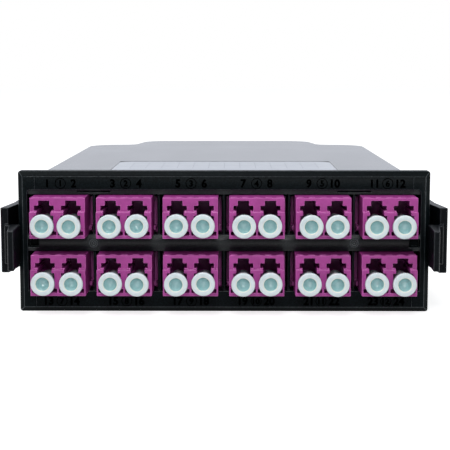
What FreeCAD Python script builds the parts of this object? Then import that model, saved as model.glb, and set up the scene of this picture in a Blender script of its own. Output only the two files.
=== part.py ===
"""Fibre cassette: 24 LC ports in front, two MPO ports at the back.

Millimetres, +Z up, front facing -Y. The origin is on the ground, under the middle of the whole part.
Depths are written as the distance behind the front plane of the faceplate and turned into Y by at().
"""

import math
import os

import FreeCAD
import Part

# ---- faceplate -----------------------------------------------------------------------------------
PLATE_HEIGHT = 33.6
PLATE_THICK = 3.4
PLATE_CORNER = 0.7
SIDE_FRAME = 2.2
BEVEL_TOP = 1.3
BEVEL_SIDE = 1.1
BEVEL_BOTTOM = 1.15
BEVEL_DEPTH = 0.9
ROW_CORNER = 0.8
ROW_END_GAP = 0.2
PANEL_FRONT = 8.0
PANEL_THICK = 2.0
LOWER_SHELF_THICK = 1.1
UPPER_SHELF_THICK = 1.2
UPPER_SHELF_SET_BACK = 1.0
SHELF_SIDE = 0.2
SHELF_GAP = 0.3
DIVIDER_THICK = 0.45
DIVIDER_SET_BACK = 1.4
BAR_BULGE = 0.5
BAR_SET_BACK = 0.1
BAR_WALL = 1.2
BOSS_RADIUS = 1.2
END_POCKET_WIDTH = 2.6
END_POCKET_HEIGHT = 2.0
END_POCKET_DEPTH = 2.5
SLIT_LENGTH = 8.0
SLIT_HEIGHT = 0.3
SLIT_RISE = 0.55
SLIT_DEPTH = 1.5

# ---- front adapters ------------------------------------------------------------------------------
COLUMNS = 6
COLUMN_PITCH = 15.4
ROW_PITCH = 13.45
ROWS_DROP = 0.375
PORT_PITCH = 6.25
ADAPTER_WIDTH = 12.8
ADAPTER_HEIGHT = 9.4
ADAPTER_LENGTH = 29.0
ADAPTER_REACH = 6.6
CHIN_HEIGHT = 6.15
CHIN_DEPTH = 1.1
SHOULDER_WIDTH = 14.2
SHOULDER_HEIGHT = 8.6
SHOULDER_THICK = 2.0
SIDE_TAB_REACH = 0.5
SIDE_TAB_HEIGHT = 1.0
SIDE_TAB_Z = 0.8
SIDE_TAB_LENGTH = 3.0
PORT_DEPTH = 11.5
REAR_PORT_DEPTH = 11.0
PORT_FLOOR_Z = 0.75
PORT_SIDE = 4.65
PORT_TOP = 5.35
NOTCH_WIDTH = 5.8
NOTCH_TOP = 1.7
NECK_WIDTH = 3.3
NECK_TOP = 6.4
ARMS_WIDTH = 4.6
ARMS_TOP = 7.55
SLOT_WIDTH = 2.6
SLOT_TOP = 8.73
BODY_GAP = 0.15

# ---- front dust caps -----------------------------------------------------------------------------
CAP_RADIUS = 2.75
CAP_THICK = 1.2
CAP_STANDOFF = 1.0
CAP_RISE = 0.15
CAP_DIMPLE_RADIUS = 1.55
CAP_DIMPLE_DEPTH = 1.9
CAP_DIMPLE_SIDES = 12
CAP_BARREL_WIDTH = 3.7
CAP_BARREL_LENGTH = 8.0

# ---- housing -------------------------------------------------------------------------------------
HOUSING_WIDTH = 84.4
HOUSING_STEP = 0.1
HOUSING_DEPTH = 100.6
HOUSING_CORNER = 8.8
TONGUE_DEPTH = 120.7
TONGUE_BASE_WIDTH = 58.0
TONGUE_TIP_WIDTH = 52.0
TONGUE_CORNER = 8.0
TONGUE_BLEND = 4.0
WALL = 1.8
FLOOR = 1.8
COVER_THICK = 1.8
CHEEK_GAP = 0.4
CHEEK_WALL = 1.4
CHEEK_DEPTH = 38.0
CHEEK_RISE = 0.5
CHEEK_ROOF = 1.1
LIP_THICK = 1.0
LIP_DROP = 2.0
LIP_GAP = 0.2
LABEL_WIDTH = 54.0
LABEL_DEPTH = 31.0
LABEL_THICK = 0.2
LABEL_SINK = 0.25

# ---- snap hooks that hold the cover --------------------------------------------------------------
HOOK_DEPTHS = (50.0, 68.0, 86.0)
HOOK_WIDTH = 7.0
HOOK_THICK = 1.3
HOOK_DROP = 9.0
HOOK_LUG_HEIGHT = 2.0
HOOK_LUG_REACH = 1.2
HOOK_GAP = 0.3

# ---- latches -------------------------------------------------------------------------------------
LATCH_GAP = 2.2
LATCH_THICK = 1.9
LATCH_SLANT = 1.2
LATCH_SLANT_DEPTH = 11.0
LATCH_Z = 9.5
LATCH_HEIGHT = 15.5
LATCH_FRONT = 0.6
BLADE_RISE = 2.35
BLADE_HEIGHT = 9.2
BLADE_REACH = 13.0
BLADE_JOG = 2.8
BLADE_TOE_IN = 0.5
BLADE_ROOT_THICK = 2.4
BLADE_TIP_THICK = 1.4
BLADE_BRIDGE = 1.8
BRIDGE_INSET = 1.2

# ---- sockets that hold the latch roots -----------------------------------------------------------
PIVOT_DEPTH = 34.5
PIVOT_RADIUS = 1.45
ROOT_LENGTH = 3.0
ROOT_GAP = 0.3
SOCKET_WALL = 0.9
SOCKET_MOUTH = 2.5
SNAP_LUG_REACH = 0.7
SNAP_LUG_LENGTH = 1.6
SNAP_LUG_HEIGHT = 5.0

# ---- rear adapters and caps ----------------------------------------------------------------------
MPO_X = 9.3
MPO_Z = 15.3
MPO_WIDTH = 13.0
MPO_HEIGHT = 9.6
MPO_LENGTH = 34.0
MPO_REACH = 13.5
MPO_FLANGE_WIDTH = 16.8
MPO_FLANGE_HEIGHT = 11.8
MPO_FLANGE_THICK = 2.0
MPO_WINDOW_GAP = 0.15
MPO_PORT_WIDTH = 9.8
MPO_PORT_HEIGHT = 7.2
MPO_PORT_DEPTH = 14.0
MPO_KEY_WIDTH = 3.0
MPO_KEY_HEIGHT = 0.7
MPO_CAP_GRIP = 4.5
MPO_CAP_STANDOFF = 0.4
MPO_CAP_WIDTH = 12.6
MPO_CAP_HEIGHT = 9.2
MPO_CAP_WALL = 1.2
MPO_PLUG_GAP = 0.25
MPO_PLUG_LENGTH = 10.0

# ---- plugs on the inside -------------------------------------------------------------------------
LC_PLUG_GAP = 0.15
LC_PLUG_INSERT = 9.0
LC_PLUG_TAIL = 5.0
LC_BOOT_HEIGHT = 2.0
LC_BOOT_LENGTH = 6.0
MPO_BODY_WIDTH = 12.0
MPO_BODY_HEIGHT = 8.4
MPO_BODY_LENGTH = 9.0
MPO_BOOT_WIDTH = 5.0
MPO_BOOT_HEIGHT = 3.4
MPO_BOOT_LENGTH = 9.0
MPO_BOOT_TAPER = 0.6

REAR_REACH = TONGUE_DEPTH + MPO_REACH + MPO_CAP_STANDOFF + MPO_CAP_GRIP
FRONT_Y = -(REAR_REACH - BLADE_REACH) / 2


def at(depth):
    """Y of a plane that lies depth behind the front plane of the faceplate."""
    return FRONT_Y + depth


def block(x0, x1, d0, d1, z0, z1):
    """Box between two values of X, two depths and two heights."""
    corner = FreeCAD.Vector(x0, at(d0), z0)
    return Part.makeBox(x1 - x0, d1 - d0, z1 - z0, corner)


def mid_block(x, width, d0, d1, z0, z1):
    """Box centred on x."""
    return block(x - width / 2, x + width / 2, d0, d1, z0, z1)


def post(x, depth, z0, z1, radius):
    """Upright cylinder."""
    return Part.makeCylinder(radius, z1 - z0, FreeCAD.Vector(x, at(depth), z0))


def rod(x, d0, d1, z, radius):
    """Cylinder along Y."""
    return Part.makeCylinder(radius, d1 - d0, FreeCAD.Vector(x, at(d0), z), FreeCAD.Vector(0, 1, 0))


def rounded(points, radii):
    """Closed wire through points, each corner rounded by its own radius."""
    count = len(points)
    starts, middles, ends = [], [], []
    for i, (corner, radius) in enumerate(zip(points, radii)):
        back = (points[i - 1] - corner).normalize()
        ahead = (points[(i + 1) % count] - corner).normalize()
        half = back.getAngle(ahead) / 2
        if radius == 0:
            starts.append(corner)
            middles.append(None)
            ends.append(corner)
            continue
        bisector = (back + ahead).normalize()
        centre = corner + bisector * (radius / math.sin(half))
        starts.append(corner + back * (radius / math.tan(half)))
        middles.append(centre - bisector * radius)
        ends.append(corner + ahead * (radius / math.tan(half)))
    edges = []
    for i in range(count):
        if middles[i] is not None:
            edges.append(Part.Arc(starts[i], middles[i], ends[i]).toShape())
        edges.append(Part.makeLine(ends[i], starts[(i + 1) % count]))
    return Part.Wire(edges)


def upright(points, radii, d0, d1):
    """Solid from an outline of (x, z) points, drawn at depth d0 and carried back to d1."""
    wire = rounded([FreeCAD.Vector(x, at(d0), z) for x, z in points], radii)
    return Part.Face(wire).extrude(FreeCAD.Vector(0, d1 - d0, 0))


def flat(points, radii, z0, z1):
    """Solid from an outline of (x, depth) points, drawn at height z0 and carried up to z1."""
    wire = rounded([FreeCAD.Vector(x, at(d), z0) for x, d in points], radii)
    return Part.Face(wire).extrude(FreeCAD.Vector(0, 0, z1 - z0))


def along(points, x0, x1):
    """Solid from an outline of (depth, z) points, carried along X."""
    wire = rounded([FreeCAD.Vector(x0, at(d), z) for d, z in points], [0] * len(points))
    return Part.Face(wire).extrude(FreeCAD.Vector(x1 - x0, 0, 0))


def rectangle(x0, x1, z0, z1):
    return [(x0, z0), (x1, z0), (x1, z1), (x0, z1)]


def join(shapes):
    """All shapes fused into one clean solid."""
    first, *others = shapes
    return first.fuse(others).removeSplitter() if others else first


def mirrored(shape):
    """The same piece on the other side of the middle plane."""
    return shape.mirror(FreeCAD.Vector(0, 0, 0), FreeCAD.Vector(1, 0, 0))


# ---- where things sit ----------------------------------------------------------------------------
ROW_HALF_WIDTH = COLUMNS * COLUMN_PITCH / 2 + ROW_END_GAP
PLATE_WIDTH = 2 * (ROW_HALF_WIDTH + SIDE_FRAME)
ROWS_HEIGHT = ROW_PITCH + ADAPTER_HEIGHT
LOWER_ROW_Z = PLATE_HEIGHT / 2 - ROWS_DROP - ROWS_HEIGHT / 2
UPPER_ROW_Z = LOWER_ROW_Z + ROW_PITCH
ROWS = (UPPER_ROW_Z, LOWER_ROW_Z)
COLUMN_X = [(i - (COLUMNS - 1) / 2) * COLUMN_PITCH for i in range(COLUMNS)]
DIVIDER_X = [x + COLUMN_PITCH / 2 for x in COLUMN_X[:-1]]
PORT_X = (-PORT_PITCH / 2, PORT_PITCH / 2)
PORT_CENTRE_Z = (PORT_FLOOR_Z + PORT_TOP) / 2
PANEL_BACK = PANEL_FRONT + PANEL_THICK
SHOULDER_FRONT = PANEL_FRONT - SHOULDER_THICK
ADAPTER_BACK = ADAPTER_LENGTH - ADAPTER_REACH
BAR_BOTTOM = LOWER_ROW_Z + ADAPTER_HEIGHT + BODY_GAP
CEILING_Z = UPPER_ROW_Z + ADAPTER_HEIGHT + BODY_GAP
RECESS_TOP = CEILING_Z + UPPER_SHELF_THICK
HOUSING_TOP = PLATE_HEIGHT - HOUSING_STEP
COVER_Z = HOUSING_TOP - COVER_THICK
CHEEK_TOP = RECESS_TOP + CHEEK_RISE
CHEEK_INNER = ROW_HALF_WIDTH + CHEEK_GAP
CHEEK_OUTER = CHEEK_INNER + CHEEK_WALL
HOOK_OUTER = HOUSING_WIDTH / 2 - WALL - LIP_GAP
HOOK_LOW = COVER_Z - HOOK_DROP
LATCH_REACH = PLATE_WIDTH / 2 + LATCH_GAP + LATCH_THICK
ARM_OUTER = LATCH_REACH - LATCH_SLANT
ARM_INNER = ARM_OUTER - LATCH_THICK
LATCH_TOP = LATCH_Z + LATCH_HEIGHT
LATCH_MIDDLE = LATCH_Z + LATCH_HEIGHT / 2
BLADE_Z = LATCH_Z + BLADE_RISE
BLADE_ROOT_INNER = LATCH_REACH - LATCH_THICK - BLADE_JOG
BLADE_TIP_INNER = BLADE_ROOT_INNER - BLADE_TOE_IN
ROOT_INNER = CHEEK_OUTER + ROOT_GAP
PIVOT_X = ROOT_INNER + PIVOT_RADIUS
ROOT_FRONT = PIVOT_DEPTH - ROOT_LENGTH / 2
ROOT_BACK = PIVOT_DEPTH + ROOT_LENGTH / 2


def flange():
    """The visible plate: a flat front with bevels all round."""
    half = PLATE_WIDTH / 2
    plate = upright(rectangle(-half, half, 0, PLATE_HEIGHT), [PLATE_CORNER] * 4, 0, PLATE_THICK)
    top = [(0, PLATE_HEIGHT - BEVEL_TOP), (0, PLATE_HEIGHT), (BEVEL_DEPTH, PLATE_HEIGHT)]
    bottom = [(0, 0), (0, BEVEL_BOTTOM), (BEVEL_DEPTH, 0)]
    side = flat([(half - BEVEL_SIDE, 0), (half, 0), (half, BEVEL_DEPTH)], [0] * 3, 0, PLATE_HEIGHT)
    return plate.cut([along(top, -half, half), along(bottom, -half, half), side, mirrored(side)])


def centre_bar():
    """Bar between the rows: a rounded front, end pockets, and a hollow open to the back."""
    low, high = BAR_BOTTOM, UPPER_ROW_Z
    middle = (low + high) / 2
    edge = BAR_SET_BACK + BAR_BULGE
    x0 = -ROW_HALF_WIDTH
    corners = [FreeCAD.Vector(x0, at(d), z) for d, z in ((edge, high), (PANEL_BACK, high), (PANEL_BACK, low), (edge, low))]
    crown = FreeCAD.Vector(x0, at(BAR_SET_BACK), middle)
    front = Part.Arc(corners[3], crown, corners[0]).toShape()
    lines = [Part.makeLine(a, b) for a, b in zip(corners, corners[1:])]
    bar = Part.Face(Part.Wire([front] + lines)).extrude(FreeCAD.Vector(2 * ROW_HALF_WIDTH, 0, 0))
    hollow_half = ROW_HALF_WIDTH - END_POCKET_WIDTH - BAR_WALL
    cuts = [block(-hollow_half, hollow_half, PLATE_THICK, PANEL_BACK, low + BAR_WALL, high - BAR_WALL)]
    for side in (-1, 1):
        cuts.append(mid_block(side * (ROW_HALF_WIDTH - END_POCKET_WIDTH / 2), END_POCKET_WIDTH, 0, END_POCKET_DEPTH,
                              middle - END_POCKET_HEIGHT / 2, middle + END_POCKET_HEIGHT / 2))
    bosses = [rod(side * DIVIDER_X[-1], 0, PLATE_THICK - BAR_WALL, middle, BOSS_RADIUS) for side in (-1, 1)]
    return bar.cut(cuts).fuse(bosses)


def faceplate():
    plate = flange()
    bottom, top = LOWER_ROW_Z, RECESS_TOP
    corners = [0, 0, ROW_CORNER, ROW_CORNER]
    plate = plate.cut(upright(rectangle(-ROW_HALF_WIDTH, ROW_HALF_WIDTH, bottom, top), corners, 0, PLATE_THICK))
    shelf_half = ROW_HALF_WIDTH + SHELF_SIDE
    pieces = [
        plate,
        centre_bar(),
        block(-shelf_half, shelf_half, PLATE_THICK, PANEL_BACK, bottom - LOWER_SHELF_THICK, bottom),
        block(-shelf_half, shelf_half, UPPER_SHELF_SET_BACK, PANEL_BACK, CEILING_Z, top),
    ]
    for x in DIVIDER_X:
        pieces.append(mid_block(x, DIVIDER_THICK, DIVIDER_SET_BACK, PANEL_FRONT, bottom, BAR_BOTTOM))
        pieces.append(mid_block(x, DIVIDER_THICK, DIVIDER_SET_BACK, PANEL_FRONT, UPPER_ROW_Z, CEILING_Z))
    window = ADAPTER_WIDTH + 2 * BODY_GAP
    for z in ROWS:
        panel = block(-shelf_half, shelf_half, PANEL_FRONT, PANEL_BACK, z, z + ADAPTER_HEIGHT + BODY_GAP)
        for x in COLUMN_X:
            panel = panel.cut(mid_block(x, window, PANEL_FRONT, PANEL_BACK, z, z + ADAPTER_HEIGHT + BODY_GAP))
        pieces.append(panel)
    plate = join(pieces)
    slit_low, slit_back = CEILING_Z + SLIT_RISE, UPPER_SHELF_SET_BACK + SLIT_DEPTH
    for side in (-1, 1):
        plate = plate.cut(mid_block(side * DIVIDER_X[-1], SLIT_LENGTH, UPPER_SHELF_SET_BACK, slit_back,
                                    slit_low, slit_low + SLIT_HEIGHT))
    return plate


def port_outline(x, z):
    """Half of the keyhole shape of a front port, from the floor up, then mirrored."""
    steps = [(NOTCH_WIDTH, PORT_FLOOR_Z, NOTCH_TOP), (PORT_SIDE, NOTCH_TOP, PORT_TOP),
             (NECK_WIDTH, PORT_TOP, NECK_TOP), (ARMS_WIDTH, NECK_TOP, ARMS_TOP), (SLOT_WIDTH, ARMS_TOP, SLOT_TOP)]
    right = [(x + width / 2, z + level) for width, low, high in steps for level in (low, high)]
    left = [(x - width / 2, z + level) for width, low, high in reversed(steps) for level in (high, low)]
    return right + left


def lc_adapter(x, z):
    """Two-port adapter centred on x, its underside at height z."""
    top = z + ADAPTER_HEIGHT
    body = mid_block(x, ADAPTER_WIDTH, -ADAPTER_REACH, ADAPTER_BACK, z, top)
    brow = mid_block(x, ADAPTER_WIDTH, -ADAPTER_REACH, CHIN_DEPTH - ADAPTER_REACH, z + CHIN_HEIGHT, top)
    adapter = join([
        body.cut(brow),
        mid_block(x, SHOULDER_WIDTH, SHOULDER_FRONT, PANEL_FRONT, z, z + SHOULDER_HEIGHT),
        mid_block(x, ADAPTER_WIDTH + 2 * SIDE_TAB_REACH, SHOULDER_FRONT - SIDE_TAB_LENGTH, SHOULDER_FRONT,
                  z + SIDE_TAB_Z, z + SIDE_TAB_Z + SIDE_TAB_HEIGHT),
    ])
    for offset in PORT_X:
        outline = port_outline(x + offset, z)
        adapter = adapter.cut(upright(outline, [0] * len(outline), -ADAPTER_REACH, PORT_DEPTH - ADAPTER_REACH))
        adapter = adapter.cut(mid_block(x + offset, PORT_SIDE, ADAPTER_BACK - REAR_PORT_DEPTH, ADAPTER_BACK,
                                        z + PORT_FLOOR_Z, z + SLOT_TOP))
    return adapter


def dust_cap(x, z):
    """Push-in cap: round flange with a blind dimple, and a barrel that fills the port."""
    back = -ADAPTER_REACH - CAP_STANDOFF
    front = back - CAP_THICK
    centre = z + PORT_CENTRE_Z + CAP_RISE
    half = CAP_BARREL_WIDTH / 2
    barrel = mid_block(x, CAP_BARREL_WIDTH, back, -ADAPTER_REACH + CAP_BARREL_LENGTH, centre - half, centre + half)
    turns = [2 * math.pi * (i + 0.5) / CAP_DIMPLE_SIDES for i in range(CAP_DIMPLE_SIDES)]
    dimple_line = [(x + CAP_DIMPLE_RADIUS * math.cos(a), centre + CAP_DIMPLE_RADIUS * math.sin(a)) for a in turns]
    dimple = upright(dimple_line, [0] * CAP_DIMPLE_SIDES, front, front + CAP_DIMPLE_DEPTH)
    return rod(x, front, back, centre, CAP_RADIUS).fuse(barrel).cut(dimple)


def plan(inset=0.0):
    """Outline of the housing seen from above, moved inwards by inset."""
    side = HOUSING_WIDTH / 2
    base, tip = TONGUE_BASE_WIDTH / 2, TONGUE_TIP_WIDTH / 2
    right = [(side, PLATE_THICK, 0), (side, HOUSING_DEPTH, HOUSING_CORNER), (base, HOUSING_DEPTH, TONGUE_BLEND),
             (tip, TONGUE_DEPTH, TONGUE_CORNER)]
    left = [(-x, d, r) for x, d, r in reversed(right)]
    points = [FreeCAD.Vector(x, at(d), 0) for x, d, r in right + left]
    wire = rounded(points, [r for x, d, r in right + left])
    face = Part.Face(wire)
    return face.makeOffset2D(-inset) if inset else face


def slab(z0, z1, inset=0.0):
    """The housing's outline as a solid between two heights."""
    face = plan(inset)
    face.translate(FreeCAD.Vector(0, 0, z0))
    return face.extrude(FreeCAD.Vector(0, 0, z1 - z0))


def latch_socket():
    """Pocket on the +X cheek that is open to the front and holds the latch's root."""
    outer = ARM_OUTER + ROOT_GAP
    low, high = LATCH_Z - ROOT_GAP, LATCH_TOP + ROOT_GAP
    back = ROOT_BACK + ROOT_GAP
    front = ROOT_FRONT - SOCKET_MOUTH
    shell = block(CHEEK_OUTER, outer + SOCKET_WALL, front, back + SOCKET_WALL, low - SOCKET_WALL, high + SOCKET_WALL)
    shell = shell.cut(block(CHEEK_OUTER, outer, front, back, low, high))
    length, height = SNAP_LUG_LENGTH / 2 + ROOT_GAP, SNAP_LUG_HEIGHT / 2 + ROOT_GAP
    return shell.cut(block(outer, outer + SOCKET_WALL, PIVOT_DEPTH - length, PIVOT_DEPTH + length,
                           LATCH_MIDDLE - height, LATCH_MIDDLE + height))


def housing_base():
    """Open tray with wide cheeks for the adapters, latch sockets, hook slots and rear windows."""
    outer = slab(0, COVER_Z).fuse(block(-CHEEK_OUTER, CHEEK_OUTER, PLATE_THICK, CHEEK_DEPTH, 0, CHEEK_TOP))
    inner = slab(FLOOR, COVER_Z, WALL)
    mouth = mid_block(0, HOUSING_WIDTH - 2 * WALL, PLATE_THICK, CHEEK_DEPTH, FLOOR, COVER_Z)
    cheek = block(-CHEEK_INNER, CHEEK_INNER, PLATE_THICK, CHEEK_DEPTH - CHEEK_WALL, FLOOR, CHEEK_TOP - CHEEK_ROOF)
    shelf_room = mid_block(0, 2 * CHEEK_INNER, PLATE_THICK, PANEL_BACK + SHELF_GAP, FLOOR, CHEEK_TOP)
    base = outer.cut(inner.fuse([mouth, cheek, shelf_room]))
    socket = latch_socket()
    base = join([base, socket, mirrored(socket)])
    slot_low = HOOK_LOW - HOOK_GAP
    slot_high = HOOK_LOW + HOOK_LUG_HEIGHT + HOOK_GAP
    half_height = MPO_HEIGHT / 2 + MPO_WINDOW_GAP
    for side in (-1, 1):
        wall_x = side * (HOUSING_WIDTH - WALL) / 2
        for depth in HOOK_DEPTHS:
            reach = HOOK_WIDTH / 2 + HOOK_GAP
            base = base.cut(mid_block(wall_x, 2 * WALL, depth - reach, depth + reach, slot_low, slot_high))
        base = base.cut(mid_block(side * MPO_X, MPO_WIDTH + 2 * MPO_WINDOW_GAP, TONGUE_DEPTH - 2 * WALL, TONGUE_DEPTH,
                                  MPO_Z - half_height, MPO_Z + half_height))
    return base


def snap_hook(depth):
    """Hook on the +X side of the cover: a flexing leg and a wedge that catches in the wall's slot."""
    leg = block(HOOK_OUTER - HOOK_THICK, HOOK_OUTER, depth - HOOK_WIDTH / 2, depth + HOOK_WIDTH / 2, HOOK_LOW, COVER_Z)
    wedge_line = [(HOOK_OUTER, HOOK_LOW), (HOOK_OUTER + HOOK_LUG_REACH, HOOK_LOW + HOOK_LUG_HEIGHT),
                  (HOOK_OUTER, HOOK_LOW + HOOK_LUG_HEIGHT)]
    wedge = upright(wedge_line, [0] * 3, depth - HOOK_WIDTH / 2, depth + HOOK_WIDTH / 2)
    return leg.fuse(wedge)


def housing_cover():
    """Lid with an inner lip, snap hooks and a shallow seat for the label."""
    lip = slab(COVER_Z - LIP_DROP, COVER_Z, WALL + LIP_GAP)
    lip = lip.cut([slab(COVER_Z - LIP_DROP, COVER_Z, WALL + LIP_GAP + LIP_THICK),
                   mid_block(0, HOUSING_WIDTH, PLATE_THICK, PANEL_BACK + SHELF_GAP, COVER_Z - LIP_DROP, COVER_Z)])
    hooks = [snap_hook(depth) for depth in HOOK_DEPTHS]
    cover = join([slab(COVER_Z, HOUSING_TOP), lip] + hooks + [mirrored(hook) for hook in hooks])
    return cover.cut(mid_block(0, LABEL_WIDTH, PLATE_THICK, LABEL_DEPTH, HOUSING_TOP - LABEL_SINK, HOUSING_TOP))


def label():
    z0 = HOUSING_TOP - LABEL_SINK
    return mid_block(0, LABEL_WIDTH, PLATE_THICK, LABEL_DEPTH, z0, z0 + LABEL_THICK)


def latch():
    """Squeeze lever on the +X side: round root and snap lug at the back, arm, and a finger blade in front."""
    inner = LATCH_REACH - LATCH_THICK
    arm_line = [(LATCH_REACH, -LATCH_FRONT), (ARM_OUTER, LATCH_SLANT_DEPTH), (ARM_OUTER, ROOT_BACK),
                (ARM_INNER, ROOT_BACK), (ARM_INNER, LATCH_SLANT_DEPTH), (inner, -LATCH_FRONT)]
    arm = flat(arm_line, [0] * len(arm_line), LATCH_Z, LATCH_TOP)
    pivot = post(PIVOT_X, PIVOT_DEPTH, LATCH_Z, LATCH_TOP, PIVOT_RADIUS)
    lug = block(ARM_OUTER, ARM_OUTER + SNAP_LUG_REACH, PIVOT_DEPTH - SNAP_LUG_LENGTH / 2,
                PIVOT_DEPTH + SNAP_LUG_LENGTH / 2, LATCH_MIDDLE - SNAP_LUG_HEIGHT / 2,
                LATCH_MIDDLE + SNAP_LUG_HEIGHT / 2)
    root = LATCH_FRONT + BLADE_BRIDGE
    bridge_outer = LATCH_REACH - BRIDGE_INSET
    blade_line = [(BLADE_ROOT_INNER, -LATCH_FRONT), (BLADE_ROOT_INNER, -root), (BLADE_TIP_INNER, -BLADE_REACH),
                  (BLADE_TIP_INNER + BLADE_TIP_THICK, -BLADE_REACH), (BLADE_ROOT_INNER + BLADE_ROOT_THICK, -root),
                  (bridge_outer, -root), (bridge_outer, -LATCH_FRONT)]
    blade = flat(blade_line, [0] * len(blade_line), BLADE_Z, BLADE_Z + BLADE_HEIGHT)
    return join([arm, pivot, lug, blade])


def mpo_adapter(x):
    front = TONGUE_DEPTH + MPO_REACH - MPO_LENGTH
    back = TONGUE_DEPTH + MPO_REACH
    half_height = MPO_HEIGHT / 2
    flange_half = MPO_FLANGE_HEIGHT / 2
    adapter = mid_block(x, MPO_WIDTH, front, back, MPO_Z - half_height, MPO_Z + half_height)
    adapter = adapter.fuse(mid_block(x, MPO_FLANGE_WIDTH, TONGUE_DEPTH, TONGUE_DEPTH + MPO_FLANGE_THICK,
                                     MPO_Z - flange_half, MPO_Z + flange_half))
    port_half = MPO_PORT_HEIGHT / 2
    for d0, d1 in ((front, front + MPO_PORT_DEPTH), (back - MPO_PORT_DEPTH, back)):
        adapter = adapter.cut(mid_block(x, MPO_PORT_WIDTH, d0, d1, MPO_Z - port_half, MPO_Z + port_half))
        adapter = adapter.cut(mid_block(x, MPO_KEY_WIDTH, d0, d1, MPO_Z, MPO_Z + port_half + MPO_KEY_HEIGHT))
    return adapter


def mpo_cap(x):
    mouth = TONGUE_DEPTH + MPO_REACH
    start = mouth + MPO_CAP_STANDOFF
    half = MPO_CAP_HEIGHT / 2
    plug_half = MPO_PORT_HEIGHT / 2 - MPO_PLUG_GAP
    grip = mid_block(x, MPO_CAP_WIDTH, start, start + MPO_CAP_GRIP, MPO_Z - half, MPO_Z + half)
    hollow = mid_block(x, MPO_CAP_WIDTH - 2 * MPO_CAP_WALL, start + MPO_CAP_WALL, start + MPO_CAP_GRIP,
                       MPO_Z - half + MPO_CAP_WALL, MPO_Z + half - MPO_CAP_WALL)
    plug = mid_block(x, MPO_PORT_WIDTH - 2 * MPO_PLUG_GAP, mouth - MPO_PLUG_LENGTH, start,
                     MPO_Z - plug_half, MPO_Z + plug_half)
    return grip.cut(hollow).fuse(plug).removeSplitter()


def mpo_plug(x):
    """Plug of the internal lead, in the inner end of a rear adapter."""
    mouth = TONGUE_DEPTH + MPO_REACH - MPO_LENGTH
    nose = mid_block(x, MPO_PORT_WIDTH - 2 * MPO_PLUG_GAP, mouth, mouth + MPO_PLUG_LENGTH,
                     MPO_Z - MPO_PORT_HEIGHT / 2 + MPO_PLUG_GAP, MPO_Z + MPO_PORT_HEIGHT / 2 - MPO_PLUG_GAP)
    body_front = mouth - MPO_BODY_LENGTH
    body = mid_block(x, MPO_BODY_WIDTH, body_front, mouth, MPO_Z - MPO_BODY_HEIGHT / 2, MPO_Z + MPO_BODY_HEIGHT / 2)
    wide, narrow = MPO_BOOT_HEIGHT / 2, MPO_BOOT_TAPER * MPO_BOOT_HEIGHT / 2
    end = body_front - MPO_BOOT_LENGTH
    boot_line = [(body_front, MPO_Z - wide), (body_front, MPO_Z + wide), (end, MPO_Z + narrow), (end, MPO_Z - narrow)]
    boot = along(boot_line, x - MPO_BOOT_WIDTH / 2, x + MPO_BOOT_WIDTH / 2)
    return join([nose, body, boot])


def lc_plugs():
    """Inner plugs with tapered boots, one in the back of every front port."""
    half = PORT_SIDE / 2 - LC_PLUG_GAP
    nose, tail = ADAPTER_BACK - LC_PLUG_INSERT, ADAPTER_BACK + LC_PLUG_TAIL
    end = tail + LC_BOOT_LENGTH
    plugs = []
    for z in ROWS:
        for x in (column + offset for column in COLUMN_X for offset in PORT_X):
            centre = z + PORT_CENTRE_Z
            line = [(nose, -half), (tail, -half), (end, -LC_BOOT_HEIGHT / 2), (end, LC_BOOT_HEIGHT / 2),
                    (tail, half), (nose, half)]
            plugs.append(along([(d, centre + rise) for d, rise in line], x - half, x + half))
    return Part.makeCompound(plugs)


def nodes():
    """Every piece of the cassette, by name."""
    right_latch = latch()
    pieces = {
        "faceplate": faceplate(),
        "housing_base": housing_base(),
        "housing_cover": housing_cover(),
        "label": label(),
        "latch_right": right_latch,
        "latch_left": mirrored(right_latch),
        "mpo_adapter_1": mpo_adapter(-MPO_X),
        "mpo_adapter_2": mpo_adapter(MPO_X),
        "mpo_cap_1": mpo_cap(-MPO_X),
        "mpo_cap_2": mpo_cap(MPO_X),
        "mpo_plug_1": mpo_plug(-MPO_X),
        "mpo_plug_2": mpo_plug(MPO_X),
        "lc_plugs": lc_plugs(),
    }
    spots = [(x, z) for z in ROWS for x in COLUMN_X]
    for number, (x, z) in enumerate(spots, start=1):
        pieces[f"lc_adapter_{number:02d}"] = lc_adapter(x, z)
        for port, offset in enumerate(PORT_X):
            pieces[f"dust_cap_{2 * number - 1 + port:02d}"] = dust_cap(x + offset, z)
    return pieces


os.makedirs("parts", exist_ok=True)
for name, shape in nodes().items():
    shape.exportStep(f"parts/{name}.step")
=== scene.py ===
import math
import random

import bmesh
import bpy
from mathutils import Matrix, Vector


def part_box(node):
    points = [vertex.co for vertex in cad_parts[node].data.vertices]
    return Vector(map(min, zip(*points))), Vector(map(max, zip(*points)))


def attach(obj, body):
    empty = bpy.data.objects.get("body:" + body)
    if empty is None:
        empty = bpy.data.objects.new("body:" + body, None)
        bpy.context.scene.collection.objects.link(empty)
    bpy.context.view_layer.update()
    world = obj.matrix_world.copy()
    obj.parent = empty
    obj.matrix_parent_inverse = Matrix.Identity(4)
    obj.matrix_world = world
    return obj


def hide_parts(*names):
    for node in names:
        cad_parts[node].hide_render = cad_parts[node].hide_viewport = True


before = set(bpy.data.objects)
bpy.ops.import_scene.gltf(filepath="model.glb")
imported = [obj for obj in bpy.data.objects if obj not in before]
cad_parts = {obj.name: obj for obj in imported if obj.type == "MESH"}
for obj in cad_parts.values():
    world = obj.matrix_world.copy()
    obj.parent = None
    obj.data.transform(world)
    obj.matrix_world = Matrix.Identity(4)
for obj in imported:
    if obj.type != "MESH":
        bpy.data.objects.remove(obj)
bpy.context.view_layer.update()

MM = 0.001  # the frame's unit is the metre

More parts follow.
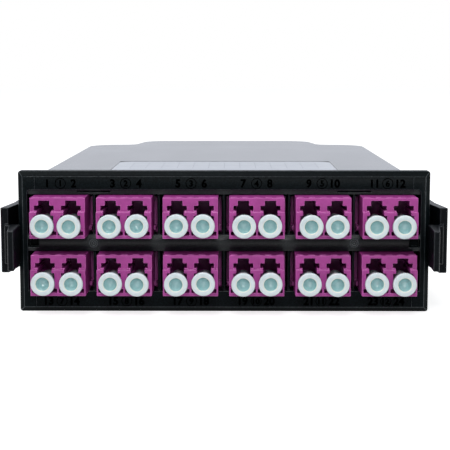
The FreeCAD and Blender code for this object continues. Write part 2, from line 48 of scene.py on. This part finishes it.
# ---- what the frame says -------------------------------------------------------------------------
plate_low, plate_high = (Vector(corner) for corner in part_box("faceplate"))
FRONT = plate_low.y
ROOT = "cassette"
ADAPTERS = [name for name in sorted(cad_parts) if name.startswith("lc_adapter")]
CAPS = [name for name in sorted(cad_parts) if name.startswith("dust_cap")]


def middle(node):
    """Centre of a CAD piece's box."""
    low, high = (Vector(corner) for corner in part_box(node))
    return (low + high) / 2


# ---- materials -----------------------------------------------------------------------------------
def new_material(name, color, roughness, **sockets):
    """A Principled material with its plain values on the shader's own sockets."""
    material = bpy.data.materials.new(name)
    material.use_nodes = True
    shader = material.node_tree.nodes["Principled BSDF"]
    shader.inputs["Base Color"].default_value = (*color, 1)
    shader.inputs["Roughness"].default_value = roughness
    for socket, value in sockets.items():
        shader.inputs[socket.replace("_", " ")].default_value = value
    return material, shader


def noise_node(material, scale, detail=3.0, stretch=(1, 1, 1)):
    """Noise in object space, so it keeps its real size and stays on the piece."""
    nodes, links = material.node_tree.nodes, material.node_tree.links
    place = nodes.new("ShaderNodeTexCoord")
    mapping = nodes.new("ShaderNodeMapping")
    mapping.inputs["Scale"].default_value = stretch
    noise = nodes.new("ShaderNodeTexNoise")
    noise.inputs["Scale"].default_value = scale
    noise.inputs["Detail"].default_value = detail
    links.new(place.outputs["Object"], mapping.inputs["Vector"])
    links.new(mapping.outputs["Vector"], noise.inputs["Vector"])
    return noise


def add_subsurface(shader, weight, radius):
    """Light that enters the plastic and comes out this far away, for red, green and blue."""
    shader.inputs["Subsurface Weight"].default_value = weight
    shader.inputs["Subsurface Radius"].default_value = radius
    shader.inputs["Subsurface Scale"].default_value = 1.0


def vary_color(material, shader, noise, dark, light, low=0.35, high=0.65):
    """Base colour that runs from dark to light where the noise runs from low to high."""
    nodes, links = material.node_tree.nodes, material.node_tree.links
    ramp = nodes.new("ShaderNodeValToRGB")
    ramp.color_ramp.elements[0].position = low
    ramp.color_ramp.elements[1].position = high
    ramp.color_ramp.elements[0].color = (*dark, 1)
    ramp.color_ramp.elements[1].color = (*light, 1)
    links.new(noise.outputs["Fac"], ramp.inputs["Fac"])
    links.new(ramp.outputs["Color"], shader.inputs["Base Color"])


def vary_roughness(material, shader, noise, low, high):
    """Roughness that follows the noise between two values."""
    nodes, links = material.node_tree.nodes, material.node_tree.links
    spread = nodes.new("ShaderNodeMapRange")
    spread.inputs["To Min"].default_value = low
    spread.inputs["To Max"].default_value = high
    links.new(noise.outputs["Fac"], spread.inputs["Value"])
    links.new(spread.outputs["Result"], shader.inputs["Roughness"])


def add_bump(material, shader, noise, height):
    """Relief that follows the noise, this high."""
    nodes, links = material.node_tree.nodes, material.node_tree.links
    bump = nodes.new("ShaderNodeBump")
    bump.inputs["Distance"].default_value = height
    links.new(noise.outputs["Fac"], bump.inputs["Height"])
    links.new(bump.outputs["Normal"], shader.inputs["Normal"])


def textured_plastic(name, dark, light, roughness, grain=3200, height=0.012 * MM, sheen=0.3):
    """Moulded plastic with a fine spark-eroded grain, a faint speckle and slightly uneven gloss."""
    coarser, spread = 5, 0.07
    material, shader = new_material(name, light, roughness, Specular_IOR_Level=sheen)
    grain_noise = noise_node(material, grain, 4)
    vary_color(material, shader, grain_noise, dark, light, 0.42, 0.7)
    gloss_noise = noise_node(material, grain / coarser)
    vary_roughness(material, shader, gloss_noise, roughness - spread, roughness + spread)
    add_bump(material, shader, grain_noise, height)
    return material


def make_cover():
    """Smooth black lid that mirrors the bright backdrop at a low angle."""
    material, shader = new_material("cover_plastic", (0.010, 0.011, 0.014), 0.22, Specular_IOR_Level=0.8)
    vary_color(material, shader, noise_node(material, 2200, 4), (0.008, 0.009, 0.011), (0.014, 0.015, 0.019))
    vary_roughness(material, shader, noise_node(material, 60, 2, (1, 0.35, 1)), 0.20, 0.24)
    add_bump(material, shader, noise_node(material, 2600, 2), 0.0003 * MM)
    return material


def make_violet():
    """Violet of the adapters, a little translucent, with faint flow marks from the mould."""
    material, shader = new_material("violet_plastic", (0.320, 0.034, 0.228), 0.38, Specular_IOR_Level=0.4)
    add_subsurface(shader, 0.12, (1.2 * MM, 0.4 * MM, 0.9 * MM))
    flow = noise_node(material, 420, 3)
    vary_color(material, shader, flow, (0.292, 0.030, 0.208), (0.345, 0.039, 0.248))
    vary_roughness(material, shader, noise_node(material, 900), 0.32, 0.46)
    add_bump(material, shader, noise_node(material, 2600), 0.004 * MM)
    return material


def make_cap_white():
    """Milky white of the dust caps."""
    material, shader = new_material("cap_plastic", (0.57, 0.63, 0.645), 0.34)
    add_subsurface(shader, 0.35, (1.0 * MM, 1.4 * MM, 1.4 * MM))
    vary_color(material, shader, noise_node(material, 500), (0.54, 0.60, 0.62), (0.60, 0.665, 0.68))
    vary_roughness(material, shader, noise_node(material, 1500), 0.28, 0.42)
    add_bump(material, shader, noise_node(material, 2400), 0.003 * MM)
    return material


def make_cap_dimple_shade():
    """Polished inside of a cap's dimple, with a darker blue-green base colour painted in as the shade of the
    hollow and the light seen through the plastic.
    """
    material, shader = new_material("cap_dimple_shade", (0.33, 0.53, 0.55), 0.24,
                                    Coat_Weight=1.0, Coat_Roughness=0.09)
    add_subsurface(shader, 0.3, (0.8 * MM, 1.2 * MM, 1.2 * MM))
    vary_color(material, shader, noise_node(material, 700), (0.29, 0.49, 0.50), (0.36, 0.57, 0.58))
    return material


def make_label_film():
    """Pale film of the label."""
    material, shader = new_material("label_film", (0.53, 0.56, 0.62), 0.5, Specular_IOR_Level=0.3)
    vary_color(material, shader, noise_node(material, 300), (0.46, 0.485, 0.54), (0.50, 0.525, 0.58))
    add_bump(material, shader, noise_node(material, 1200), 0.004 * MM)
    return material


BLACK = textured_plastic("black_plastic", (0.0012, 0.0026, 0.0032), (0.0042, 0.0075, 0.0090),
                         0.40, sheen=0.045)
COVER = make_cover()
# glossier black with a lighter, teal-tinted base colour: painted highlight on the bar between the rows and
# the top shelf's front
BAR_GLOSS_AND_HIGHLIGHT = textured_plastic("bar_gloss_and_painted_highlight", (0.0060, 0.0090, 0.0100), (0.0150, 0.0200, 0.0215),
                       0.36, sheen=0.25)
LATCH = textured_plastic("latch_plastic", (0.0018, 0.0026, 0.0036), (0.0052, 0.0066, 0.0084),
                         0.36, sheen=0.05)
# painted highlight: a lighter black for the latches' rounded edges, standing in for the light they catch
LATCH_EDGE_HIGHLIGHT = textured_plastic("latch_edge_highlight", (0.006, 0.008, 0.010), (0.018, 0.021, 0.025),
                              0.32, grain=2400, height=0.004 * MM, sheen=0.2)
# painted highlight: a lighter, glossier black for the faceplate's rounded edges, standing in for the light
# they catch
BLACK_EDGE_HIGHLIGHT = textured_plastic("black_edge_highlight", (0.016, 0.022, 0.025), (0.046, 0.058, 0.064),
                              0.30, grain=2400, height=0.004 * MM, sheen=0.3)
# painted highlight: a light grey for the mould marks and the line under the top bevel, standing in for the
# light these catch on the black plate
MARK_HIGHLIGHT = textured_plastic("mould_mark_highlight", (0.030, 0.038, 0.042), (0.090, 0.105, 0.112),
                        0.30, grain=2400, height=0.004 * MM, sheen=0.45)
SMOOTH_BLACK = textured_plastic("connector_plastic", (0.012, 0.012, 0.014), (0.024, 0.025, 0.028),
                                0.30, grain=900, height=0.003 * MM)
REAR_CAP = textured_plastic("rear_cap_plastic", (0.014, 0.015, 0.017), (0.030, 0.032, 0.035),
                            0.36, grain=1400, height=0.005 * MM)
INK = textured_plastic("number_relief", (0.0001, 0.0001, 0.0001), (0.0003, 0.0003, 0.0003),
                       0.50, grain=2000, height=0.001 * MM, sheen=0.0)
VIOLET = make_violet()
# painted highlight: a lighter violet for the adapters' rounded edges and the pads on top, standing in for the
# light they catch
VIOLET_EDGE_HIGHLIGHT = textured_plastic("violet_edge_highlight", (0.43, 0.085, 0.33), (0.52, 0.12, 0.41),
                               0.30, grain=1200, height=0.002 * MM, sheen=0.5)
CAP_WHITE = make_cap_white()
CAP_DIMPLE_SHADE = make_cap_dimple_shade()
CAP_RIM = textured_plastic("cap_rim", (0.66, 0.66, 0.56), (0.74, 0.73, 0.62),
                           0.35, grain=900, height=0.002 * MM, sheen=0.5)
LABEL_FILM = make_label_film()
LABEL_PRINT, _ = new_material("label_print", (0.34, 0.36, 0.42), 0.5)


# ---- meshes --------------------------------------------------------------------------------------
WELD_DISTANCE = 0.002 * MM
FLAT_ANGLE = math.radians(2)
SHARP_ANGLE = math.radians(35)
BODY_SLOT, EDGE_SLOT, ZONE_SLOT = 0, 1, 2


def to_mesh(shape, name):
    """The bmesh as a mesh; the bmesh is freed."""
    mesh = bpy.data.meshes.new(name)
    shape.to_mesh(mesh)
    shape.free()
    return mesh


def stamp(shape, mesh, place):
    """Add a small mesh to the shape at a place; the small mesh is removed."""
    mesh.transform(Matrix.Translation(place))
    shape.from_mesh(mesh)
    bpy.data.meshes.remove(mesh)


def add_object(name, mesh, materials):
    """An object in the scene with its materials in this order."""
    piece = bpy.data.objects.new(name, mesh)
    bpy.context.scene.collection.objects.link(piece)
    for material in materials:
        mesh.materials.append(material)
    return piece


def dressed(node, body, material, bevel, segments=2, edge=None, zone=None, zone_material=None):
    """The CAD piece with its faces joined, its edges rounded off and its own finish.

    The rounded edges take the edge material where one is given, a lighter copy of the finish that paints a
    highlight along them. Faces whose middle passes the zone test take the zone material.
    """
    shape = bmesh.new()
    shape.from_mesh(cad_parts[node].data)
    bmesh.ops.remove_doubles(shape, verts=shape.verts, dist=WELD_DISTANCE)
    bmesh.ops.dissolve_limit(shape, angle_limit=FLAT_ANGLE, verts=shape.verts, edges=shape.edges)
    for face in shape.faces:
        face.smooth = True
        in_zone = zone and zone(face.calc_center_median())
        face.material_index = ZONE_SLOT if in_zone else BODY_SLOT
    mesh = to_mesh(shape, f"{node}_finish")
    for name in ("custom_normal", "sharp_face", "sharp_edge"):
        if name in mesh.attributes:
            mesh.attributes.remove(mesh.attributes[name])
    piece = add_object(f"{node}_finish", mesh, [m for m in (material, edge, zone_material) if m])
    rounding = piece.modifiers.new("edges", "BEVEL")
    rounding.material = EDGE_SLOT if edge else -1
    rounding.width = bevel
    rounding.segments = segments
    rounding.limit_method = "ANGLE"
    rounding.angle_limit = SHARP_ANGLE
    rounding.use_clamp_overlap = False
    rounding.harden_normals = True
    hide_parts(node)
    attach(piece, body)


def lathe(name, profile, steps, materials, slots):
    """Solid of revolution about Y through the origin, from (radius, y) points; slots has one entry a band."""
    shape = bmesh.new()
    rings = []
    for radius, depth in profile:
        if radius == 0:
            rings.append([shape.verts.new((0, depth, 0))])
            continue
        angles = [2 * math.pi * i / steps for i in range(steps)]
        rings.append([shape.verts.new((radius * math.cos(a), depth, radius * math.sin(a))) for a in angles])
    for index, (first, second) in enumerate(zip(rings, rings[1:])):
        for i in range(steps):
            j = (i + 1) % steps
            if len(first) == 1:
                corners = [first[0], second[i], second[j]]
            elif len(second) == 1:
                corners = [first[i], second[0], first[j]]
            else:
                corners = [first[i], second[i], second[j], first[j]]
            face = shape.faces.new(corners)
            face.material_index = slots[index]
            face.smooth = True
    bmesh.ops.recalc_face_normals(shape, faces=shape.faces)
    mesh = to_mesh(shape, name)
    for material in materials:
        mesh.materials.append(material)
    return mesh


# ---- dust caps -----------------------------------------------------------------------------------
def arc(centre, radius, start, end, steps):
    """Points of an arc in the (radius, y) plane."""
    turns = [math.radians(start + (end - start) * i / steps) for i in range(steps + 1)]
    return [(centre[0] + radius * math.cos(a), centre[1] + radius * math.sin(a)) for a in turns]


def cap_mesh():
    """Profile from the dimple's bottom, over the flange, to the barrel's end; y 0 is the flange's front."""
    low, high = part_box(CAPS[0])
    radius = (high[0] - low[0]) / 2
    length = high[1] - low[1]
    flange = 1.2 * MM
    flange_edge = 0.28 * MM
    mouth = 1.55 * MM
    dimple_depth = 1.9 * MM
    bowl_width, bowl_height, bowl_steps = 0.97, 1.12, 8
    lip = 0.18 * MM
    barrel = 1.85 * MM
    tip_length, tip_taper = 0.5 * MM, 0.35 * MM
    turns = [math.radians(90 * i / bowl_steps) for i in range(bowl_steps + 1)]
    bowl = [(mouth * bowl_width * math.sin(a), dimple_depth - mouth * bowl_height * (1 - math.cos(a)))
            for a in turns]
    front = arc((mouth + lip, lip), lip, 180, 270, 4)
    rim_front = arc((radius - flange_edge, flange_edge), flange_edge, -90, 0, 5)
    rim_back = arc((radius - flange_edge, flange - flange_edge), flange_edge, 0, 90, 4)
    neck = arc((barrel + lip, flange + lip), lip, 270, 180, 3)
    tip = [(barrel, length - tip_length), (barrel - tip_taper, length), (0, length)]
    profile = bowl + front + rim_front + rim_back + neck + tip
    materials = [CAP_WHITE, CAP_DIMPLE_SHADE, CAP_RIM]
    white, dimple, rim = range(len(materials))
    # the dimple's faces take the painted-shade material
    slots = [dimple] * (len(bowl) + 1) + [rim] * (len(front) - 2)
    slots += [white] * (len(profile) - 1 - len(slots))
    return lathe("cap", profile, 48, materials, slots)


def place_caps():
    """Every cap sits a little differently in its port, as push-in caps do."""
    least_droop, most_droop, most_swing = 0.2, 1.6, 1.3
    pick = random.Random(7)
    mesh = cap_mesh()
    for node in CAPS:
        low, high = (Vector(corner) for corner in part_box(node))
        piece = bpy.data.objects.new(f"{node}_finish", mesh)
        bpy.context.scene.collection.objects.link(piece)
        droop = Matrix.Rotation(math.radians(pick.uniform(least_droop, most_droop)), 4, "X")
        swing = Matrix.Rotation(math.radians(pick.uniform(-most_swing, most_swing)), 4, "Z")
        inside = Vector((0, high.y - low.y, 0))
        seat = Vector(((low.x + high.x) / 2, high.y, (low.z + high.z) / 2))
        piece.matrix_world = Matrix.Translation(seat) @ swing @ droop @ Matrix.Translation(-inside)
        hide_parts(node)
        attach(piece, node)


# ---- numbers on the plate ------------------------------------------------------------------------
def text_mesh(text, height, thick, bold):
    """A number as a mesh in the XZ plane, centred, facing -Y; bold is the stroke's growth over its height."""
    digit_share = 0.7
    curve = bpy.data.curves.new("number", "FONT")
    curve.body = text
    curve.size = height / digit_share
    curve.extrude = thick / 2
    curve.offset = height * bold
    curve.resolution_u = 3
    curve.align_x = "CENTER"
    curve.align_y = "CENTER"
    holder = bpy.data.objects.new("number", curve)
    bpy.context.scene.collection.objects.link(holder)
    bpy.context.view_layer.update()
    mesh = bpy.data.meshes.new_from_object(holder.evaluated_get(bpy.context.evaluated_depsgraph_get()))
    bpy.data.objects.remove(holder)
    bpy.data.curves.remove(curve)
    xs = [v.co.x for v in mesh.vertices]
    ys = [v.co.y for v in mesh.vertices]
    centre = Vector(((min(xs) + max(xs)) / 2, (min(ys) + max(ys)) / 2, 0))
    mesh.transform(Matrix.Rotation(math.radians(90), 4, "X") @ Matrix.Translation(-centre))
    return mesh


def ring_mesh(radius, wire):
    """Thin round ring about Y."""
    shape = bmesh.new()
    steps, sides = 40, 6
    rows = []
    for i in range(steps):
        turn = 2 * math.pi * i / steps
        row = []
        for j in range(sides):
            around = 2 * math.pi * j / sides
            r = radius + wire * math.cos(around)
            row.append(shape.verts.new((r * math.cos(turn), wire * math.sin(around), r * math.sin(turn))))
        rows.append(row)
    for i in range(steps):
        for j in range(sides):
            a, b = rows[i], rows[(i + 1) % steps]
            shape.faces.new([a[j], b[j], b[(j + 1) % sides], a[(j + 1) % sides]])
    return to_mesh(shape, "ring")


def port_numbers():
    """Moulded port numbers 1 to 24 over and under the rows, with circled adapter numbers between them."""
    thick, forward = 0.10 * MM, 0.02 * MM
    digit, digit_bold = 1.8 * MM, 0.05
    small, small_bold = 1.4 * MM, 0.045
    circle, wire = 1.2 * MM, 0.08 * MM
    aside = 3.1 * MM
    top_line = plate_high.z - 2.9 * MM
    bottom_line = plate_low.z + 2.6 * MM
    y = FRONT - forward
    shape = bmesh.new()
    for index, node in enumerate(ADAPTERS):
        x = middle(node).x
        z = top_line if index < len(ADAPTERS) / 2 else bottom_line
        stamp(shape, text_mesh(str(2 * index + 1), digit, thick, digit_bold), (x - aside, y, z))
        stamp(shape, text_mesh(str(2 * index + 2), digit, thick, digit_bold), (x + aside, y, z))
        stamp(shape, text_mesh(str(index + 1), small, thick, small_bold), (x, y, z))
        stamp(shape, ring_mesh(circle, wire), (x, y, z))
    piece = add_object("port_numbers", to_mesh(shape, "port_numbers"), [INK])
    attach(piece, ROOT)


# ---- pads on the adapters ------------------------------------------------------------------------
def adapter_pads():
    """Five low pads near the front edge on top of every adapter, in the lighter edge violet that paints a
    highlight on them.
    """
    width, depth, rise = 1.5 * MM, 1.1 * MM, 0.12 * MM
    pitch, set_back, rounding = 2.65 * MM, 2.1 * MM, 0.03 * MM
    shape = bmesh.new()
    for node in ADAPTERS:
        low, high = (Vector(corner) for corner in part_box(node))
        for i in range(-2, 3):
            x, y = middle(node).x + i * pitch, low.y + set_back
            place = Matrix.Translation((x, y, high.z)) @ Matrix.Diagonal((width, depth, 2 * rise, 1))
            bmesh.ops.create_cube(shape, size=1, matrix=place)
    bmesh.ops.bevel(shape, geom=list(shape.edges), offset=rounding, segments=2, affect="EDGES")
    piece = add_object("adapter_pads", to_mesh(shape, "adapter_pads"), [VIOLET_EDGE_HIGHLIGHT])
    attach(piece, ROOT)


# ---- mould marks and painted highlight lines -----------------------------------------------------
def plate_marks():
    """Rings and a centre dot on the two bosses, the mould's parting lines near the plate's edges, and a ridge
    along the top bevel's lower edge, all in a light grey that paints the highlights they catch.
    """
    ring_radii, wire = (0.95 * MM, 0.55 * MM, 0.12 * MM), 0.09 * MM
    half, proud = 0.05 * MM, 0.03 * MM
    first, second, below = (ADAPTERS[0], ADAPTERS[1], ADAPTERS[len(ADAPTERS) // 2])
    boss_x = abs(middle(first).x + middle(second).x) / 2
    boss_z = (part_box(first)[0][2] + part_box(below)[1][2] + 0.15 * MM) / 2
    line_x = abs(middle(first).x) + 6.1 * MM
    upper_line = plate_high.z - 4.2 * MM, plate_high.z - 1.4 * MM
    lower_line = plate_low.z + 1.3 * MM, plate_low.z + 4.9 * MM
    highlight_line_z, highlight_line_end = plate_high.z - 1.33 * MM, plate_high.x - 1.5 * MM
    shape = bmesh.new()

    def ridge(start, end):
        """Low two-sided ridge on the plate's face between two (x, z) points."""
        along = (Vector(end) - Vector(start)).normalized() * half
        crest_points = [Vector((x, FRONT - proud, z)) for x, z in (start, end)]
        crest = [shape.verts.new(point) for point in crest_points]
        for turn in (-1, 1):
            step = Vector((-along.y * turn, 2 * proud, along.x * turn))
            foot = [shape.verts.new(point + step) for point in crest_points]
            shape.faces.new([crest[0], crest[1], foot[1], foot[0]])

    for side in (-1, 1):
        for radius in ring_radii:
            stamp(shape, ring_mesh(radius, wire), (side * boss_x, FRONT, boss_z))
        for low, high in (upper_line, lower_line):
            ridge((side * line_x, low), (side * line_x, high))
    # this ridge along the top bevel's lower edge is a painted highlight of that edge
    ridge((-highlight_line_end, highlight_line_z), (highlight_line_end, highlight_line_z))
    bmesh.ops.recalc_face_normals(shape, faces=shape.faces)
    piece = add_object("plate_marks", to_mesh(shape, "plate_marks"), [MARK_HIGHLIGHT])
    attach(piece, ROOT)


# ---- label ---------------------------------------------------------------------------------------
def rounded_sheet(name, low, high, radius, material):
    """Thin sheet between two corners, with its two back corners rounded."""
    steps = 8
    outline = [(low.x, low.y), (high.x, low.y)]
    for centre_x, start in ((high.x - radius, 0), (low.x + radius, 90)):
        turns = [math.radians(start + 90 * i / steps) for i in range(steps + 1)]
        outline += [(centre_x + radius * math.cos(a), high.y - radius + radius * math.sin(a)) for a in turns]
    shape = bmesh.new()
    bottom = [shape.verts.new((x, y, low.z)) for x, y in outline]
    top = [shape.verts.new((x, y, high.z)) for x, y in outline]
    shape.faces.new(bottom[::-1])
    shape.faces.new(top)
    for i in range(len(outline)):
        j = (i + 1) % len(outline)
        shape.faces.new([bottom[i], bottom[j], top[j], top[i]])
    return add_object(name, to_mesh(shape, name), [material])


def label_film():
    """Film with rounded back corners, and a blank write-on table printed on it."""
    rounding, lift = 3.0 * MM, 0.004 * MM
    line, row_line = 0.16 * MM, 0.48 * MM
    side_margin, back_margin, row = 4.0 * MM, 3.2 * MM, 4.4 * MM
    rows, columns = 4, 12
    low, high = (Vector(corner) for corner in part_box("label"))
    film = rounded_sheet("label_film", low, high, rounding, LABEL_FILM)
    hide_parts("label")
    left, right = low.x + side_margin, high.x - side_margin
    back = high.y - back_margin
    shape = bmesh.new()

    def strip(x0, y0, x1, y1):
        corners = [(x0, y0), (x1, y0), (x1, y1), (x0, y1)]
        shape.faces.new([shape.verts.new((x, y, high.z + lift)) for x, y in corners])

    for i in range(rows + 1):
        y = back - i * row
        strip(left, y - row_line / 2, right, y + row_line / 2)
    for i in range(columns + 1):
        x = left + (right - left) * i / columns
        strip(x - line / 2, back - rows * row, x + line / 2, back)
    table = add_object("label_table", to_mesh(shape, "label_table"), [LABEL_PRINT])
    for piece in (film, table):
        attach(piece, ROOT)


# ---- the cassette --------------------------------------------------------------------------------
def glossy_highlight_zone():
    """Test for the plate's smoother faces, which also take a lighter base colour as a painted highlight: the
    bar between the rows, and the front of the top shelf.
    """
    margin = 0.1 * MM
    bar_back, bar_half = FRONT + 1.2 * MM, 46 * MM
    shelf_front, shelf_back = FRONT + 0.5 * MM, FRONT + 1.3 * MM
    bar_bottom, bar_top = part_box(ADAPTERS[-1])[1][2] + margin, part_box(ADAPTERS[0])[0][2] + margin
    shelf_bottom, shelf_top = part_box(ADAPTERS[0])[1][2], plate_high.z - 3.5 * MM

    def in_glossy_highlight_zone(point):
        bar = point.y < bar_back and bar_bottom < point.z < bar_top and abs(point.x) < bar_half
        shelf = shelf_front < point.y < shelf_back and shelf_bottom < point.z < shelf_top
        return bar or shelf

    return in_glossy_highlight_zone


def dress_cassette():
    """A finish for every CAD piece that has no mesh of its own here."""
    fine, soft = 0.09 * MM, 0.25 * MM
    # the faceplate's rounded edges, and its bar and shelf faces, take painted highlights
    dressed("faceplate", ROOT, BLACK, fine, 2, BLACK_EDGE_HIGHLIGHT, glossy_highlight_zone(), BAR_GLOSS_AND_HIGHLIGHT)
    dressed("housing_base", ROOT, BLACK, soft)
    dressed("housing_cover", ROOT, COVER, soft)
    # the latches' rounded edges take a painted highlight
    for side in ("left", "right"):
        dressed(f"latch_{side}", f"latch_{side}", LATCH, soft, 3, LATCH_EDGE_HIGHLIGHT)
    # the adapters' rounded edges take a painted highlight
    for node in ADAPTERS:
        dressed(node, ROOT, VIOLET, fine, edge=VIOLET_EDGE_HIGHLIGHT)
    for i in (1, 2):
        dressed(f"mpo_adapter_{i}", ROOT, SMOOTH_BLACK, 0.18 * MM)
        dressed(f"mpo_cap_{i}", f"mpo_cap_{i}", REAR_CAP, 0.2 * MM)
        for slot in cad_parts[f"mpo_plug_{i}"].material_slots:
            slot.material = SMOOTH_BLACK
    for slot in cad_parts["lc_plugs"].material_slots:
        slot.material = VIOLET


# ---- studio --------------------------------------------------------------------------------------
def seen_rays(nodes, links):
    """1 for what the camera, a reflection or glass looks at, 0 for light that falls on the object."""
    path = nodes.new("ShaderNodeLightPath")
    total = path.outputs["Is Camera Ray"]
    for ray in ("Is Glossy Ray", "Is Transmission Ray"):
        both = nodes.new("ShaderNodeMath")
        both.operation = "ADD"
        both.use_clamp = True
        links.new(total, both.inputs[0])
        links.new(path.outputs[ray], both.inputs[1])
        total = both.outputs[0]
    return total


def add_floor():
    """Pale floor that looks white where it is lit and still shows the cassette's shadow."""
    half_width, clearance, brightness = 3.0, 0.02 * MM, 0.72
    shape = bmesh.new()
    corners = ((-1, -1), (1, -1), (1, 1), (-1, 1))
    shape.faces.new([shape.verts.new((x * half_width, y * half_width, -clearance)) for x, y in corners])
    material, shader = new_material("floor", (0.62, 0.62, 0.63), 0.8, Specular_IOR_Level=0.0)
    nodes, links = material.node_tree.nodes, material.node_tree.links
    shader.inputs["Emission Color"].default_value = (1, 1, 1, 1)
    glow = nodes.new("ShaderNodeMath")
    glow.operation = "MULTIPLY"
    glow.inputs[1].default_value = brightness
    links.new(seen_rays(nodes, links), glow.inputs[0])
    links.new(glow.outputs[0], shader.inputs["Emission Strength"])
    add_object("floor", to_mesh(shape, "floor"), [material])


def add_world():
    """White backdrop behind the cassette, a dimmer room in front of it, and an even light from all round."""
    room_end, backdrop_start = -0.35, 0.25
    room_brightness, backdrop_brightness = 0.25, 1.13
    world = bpy.data.worlds.new("studio")
    bpy.context.scene.world = world
    world.use_nodes = True
    nodes, links = world.node_tree.nodes, world.node_tree.links
    nodes.clear()
    place = nodes.new("ShaderNodeTexCoord")
    axes = nodes.new("ShaderNodeSeparateXYZ")
    links.new(place.outputs["Generated"], axes.inputs["Vector"])
    depth = nodes.new("ShaderNodeMapRange")
    depth.inputs["From Min"].default_value = room_end
    depth.inputs["From Max"].default_value = backdrop_start
    depth.inputs["To Min"].default_value = room_brightness
    depth.inputs["To Max"].default_value = backdrop_brightness
    links.new(axes.outputs["Y"], depth.inputs["Value"])
    light, mirrored, seen = (nodes.new("ShaderNodeBackground") for _ in range(3))
    light.inputs["Color"].default_value = (0.96, 0.98, 1.0, 1)
    light.inputs["Strength"].default_value = 0.45
    mirrored.inputs["Color"].default_value = (0.88, 0.915, 1.0, 1)
    links.new(depth.outputs["Result"], mirrored.inputs["Strength"])
    seen.inputs["Color"].default_value = (1, 1, 1, 1)
    inner, outer = nodes.new("ShaderNodeMixShader"), nodes.new("ShaderNodeMixShader")
    path = nodes.new("ShaderNodeLightPath")
    output = nodes.new("ShaderNodeOutputWorld")
    links.new(seen_rays(nodes, links), inner.inputs[0])
    links.new(light.outputs[0], inner.inputs[1])
    links.new(mirrored.outputs[0], inner.inputs[2])
    links.new(path.outputs["Is Camera Ray"], outer.inputs[0])
    links.new(inner.outputs[0], outer.inputs[1])
    links.new(seen.outputs[0], outer.inputs[2])
    links.new(outer.outputs[0], output.inputs["Surface"])


def add_lamp(name, place, size, power):
    """Soft rectangular lamp that looks at the faceplate."""
    target = Vector((0, -0.05, 0.02))
    lamp = bpy.data.lights.new(name, "AREA")
    lamp.shape = "RECTANGLE"
    lamp.size, lamp.size_y = size
    lamp.energy = power
    holder = bpy.data.objects.new(name, lamp)
    bpy.context.scene.collection.objects.link(holder)
    holder.location = place
    holder.rotation_euler = (target - Vector(place)).to_track_quat("-Z", "Y").to_euler()


def add_camera():
    """The photograph's viewpoint: a little above the cassette and right of its middle."""
    distance, height, aside = 290 * MM, 58 * MM, 2.4 * MM
    pitch, yaw = math.radians(7.3), math.radians(0.42)
    camera = bpy.data.cameras.new("camera")
    camera.sensor_width = 36
    camera.lens = 99.1
    camera.clip_start = 0.01
    holder = bpy.data.objects.new("camera", camera)
    bpy.context.scene.collection.objects.link(holder)
    holder.location = (aside, FRONT - distance, height)
    holder.rotation_euler = (math.radians(90) - pitch, 0, yaw)
    bpy.context.scene.camera = holder


dress_cassette()
place_caps()
port_numbers()
plate_marks()
adapter_pads()
label_film()
add_floor()
add_world()
add_lamp("key", (-0.15, -0.80, 0.75), (0.5, 0.35), 3.4)
add_lamp("overhead", (-0.20, -0.32, 1.0), (0.5, 0.4), 4.5)
add_lamp("front", (0.15, -0.95, 0.42), (0.26, 0.10), 2.3)
add_camera()
bpy.context.scene.view_settings.view_transform = "Standard"
